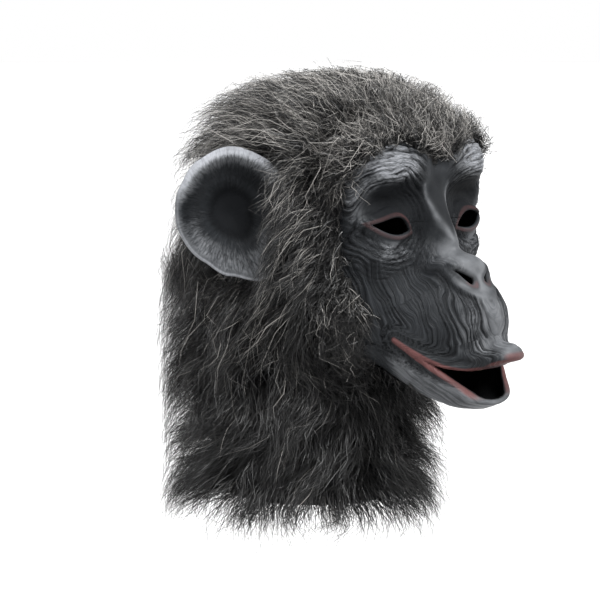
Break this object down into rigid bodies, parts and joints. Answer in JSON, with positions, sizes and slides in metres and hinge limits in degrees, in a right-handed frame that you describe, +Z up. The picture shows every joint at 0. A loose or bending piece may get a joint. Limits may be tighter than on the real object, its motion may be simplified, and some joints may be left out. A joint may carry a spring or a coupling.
{
  "type": "ape mask",
  "caption": "Full-head ape mask of dark moulded latex with a jutting muzzle, open mouth and eyes, large cast ears and long black faux fur from crown to neck.",
  "frame": {"origin": "inside of the mask at the top of the crown, where it rests on the wearer's head", "axes": "+Z up out of the crown, -Y the way the face looks, +X toward the wearer's left"},
  "size_m": [0.3046, 0.3661, 0.3892],
  "materials": {
    "latex": "matt moulded latex, dry-brushed lighter grey on the raised forms",
    "fur": "long-pile black faux fur, matt, slightly shiny along the hairs",
    "teeth": "pale yellow, half gloss"
  },
  "bodies": {
    "root": {"latex_head": "latex", "upper_teeth": "teeth", "ear_left": "latex", "ear_right": "latex", "fur_crown": "fur", "fur_side_left": "fur", "fur_side_right": "fur", "fur_back": "fur", "fur_throat": "fur"}
  },
  "joints": []
}
